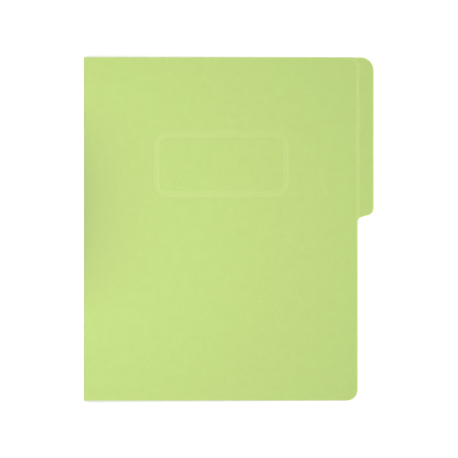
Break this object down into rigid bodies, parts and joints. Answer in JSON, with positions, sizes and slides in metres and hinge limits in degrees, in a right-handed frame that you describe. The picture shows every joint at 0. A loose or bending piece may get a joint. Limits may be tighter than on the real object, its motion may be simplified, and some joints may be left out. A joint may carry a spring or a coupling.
{
  "type": "pressboard fastener folder",
  "caption": "Letter-size pressboard folder with a side tab, an embossed label frame, a creased spine and, inside its back cover, a prong fastener with a compressor bar and lock slides.",
  "frame": {"origin": "middle of the closed folder's outline seen from above, tab included, on the surface that its back cover lies on", "axes": "+Z out of the front cover, +Y up the page, +X from the folded spine to the side tab"},
  "size_m": [0.2518, 0.2984, 0.0069],
  "materials": {
    "pressboard": "matte",
    "patch_paper": "matte",
    "tinned_steel": "satin",
    "slide_steel": "satin"
  },
  "bodies": {
    "back": {"back_cover": "pressboard", "fastener_patch": "patch_paper", "fastener_base": "tinned_steel", "compressor_bar": "tinned_steel"},
    "spine": {"spine_panel": "pressboard"},
    "front": {"front_cover": "pressboard"},
    "prong_upper": {"fastener_prong_upper": "tinned_steel"},
    "prong_lower": {"fastener_prong_lower": "tinned_steel"},
    "slide_upper": {"lock_slide_upper": "slide_steel"},
    "slide_lower": {"lock_slide_lower": "slide_steel"}
  },
  "joints": [
    {"name": "back_crease", "type": "hinge", "parent": "back", "child": "spine", "pos_m": [-0.1259, 0, 0], "axis": [0, -1, 0], "range_deg": [0, 90.64]},
    {"name": "front_crease", "type": "hinge", "parent": "spine", "child": "front", "pos_m": [-0.12582, 0, 0.00689], "axis": [0, -1, 0], "range_deg": [0, 90.64]},
    {"name": "prong_upper_fold", "type": "hinge", "parent": "back", "child": "prong_upper", "pos_m": [-0.1039, 0.03442, 0.00149], "axis": [-1, 0, 0], "range_deg": [0, 90]},
    {"name": "prong_lower_fold", "type": "hinge", "parent": "back", "child": "prong_lower", "pos_m": [-0.1039, -0.03442, 0.00149], "axis": [1, 0, 0], "range_deg": [0, 90]},
    {"name": "lock_upper", "type": "slide", "parent": "back", "child": "slide_upper", "axis": [0, 1, 0], "range_m": [0, 0.0245]},
    {"name": "lock_lower", "type": "slide", "parent": "back", "child": "slide_lower", "axis": [0, -1, 0], "range_m": [0, 0.0245]}
  ],
  "couplings": [
    {"joint": "prong_upper_fold", "follows": "front_crease", "ratio": 0.99294},
    {"joint": "prong_lower_fold", "follows": "front_crease", "ratio": 0.99294}
  ]
}
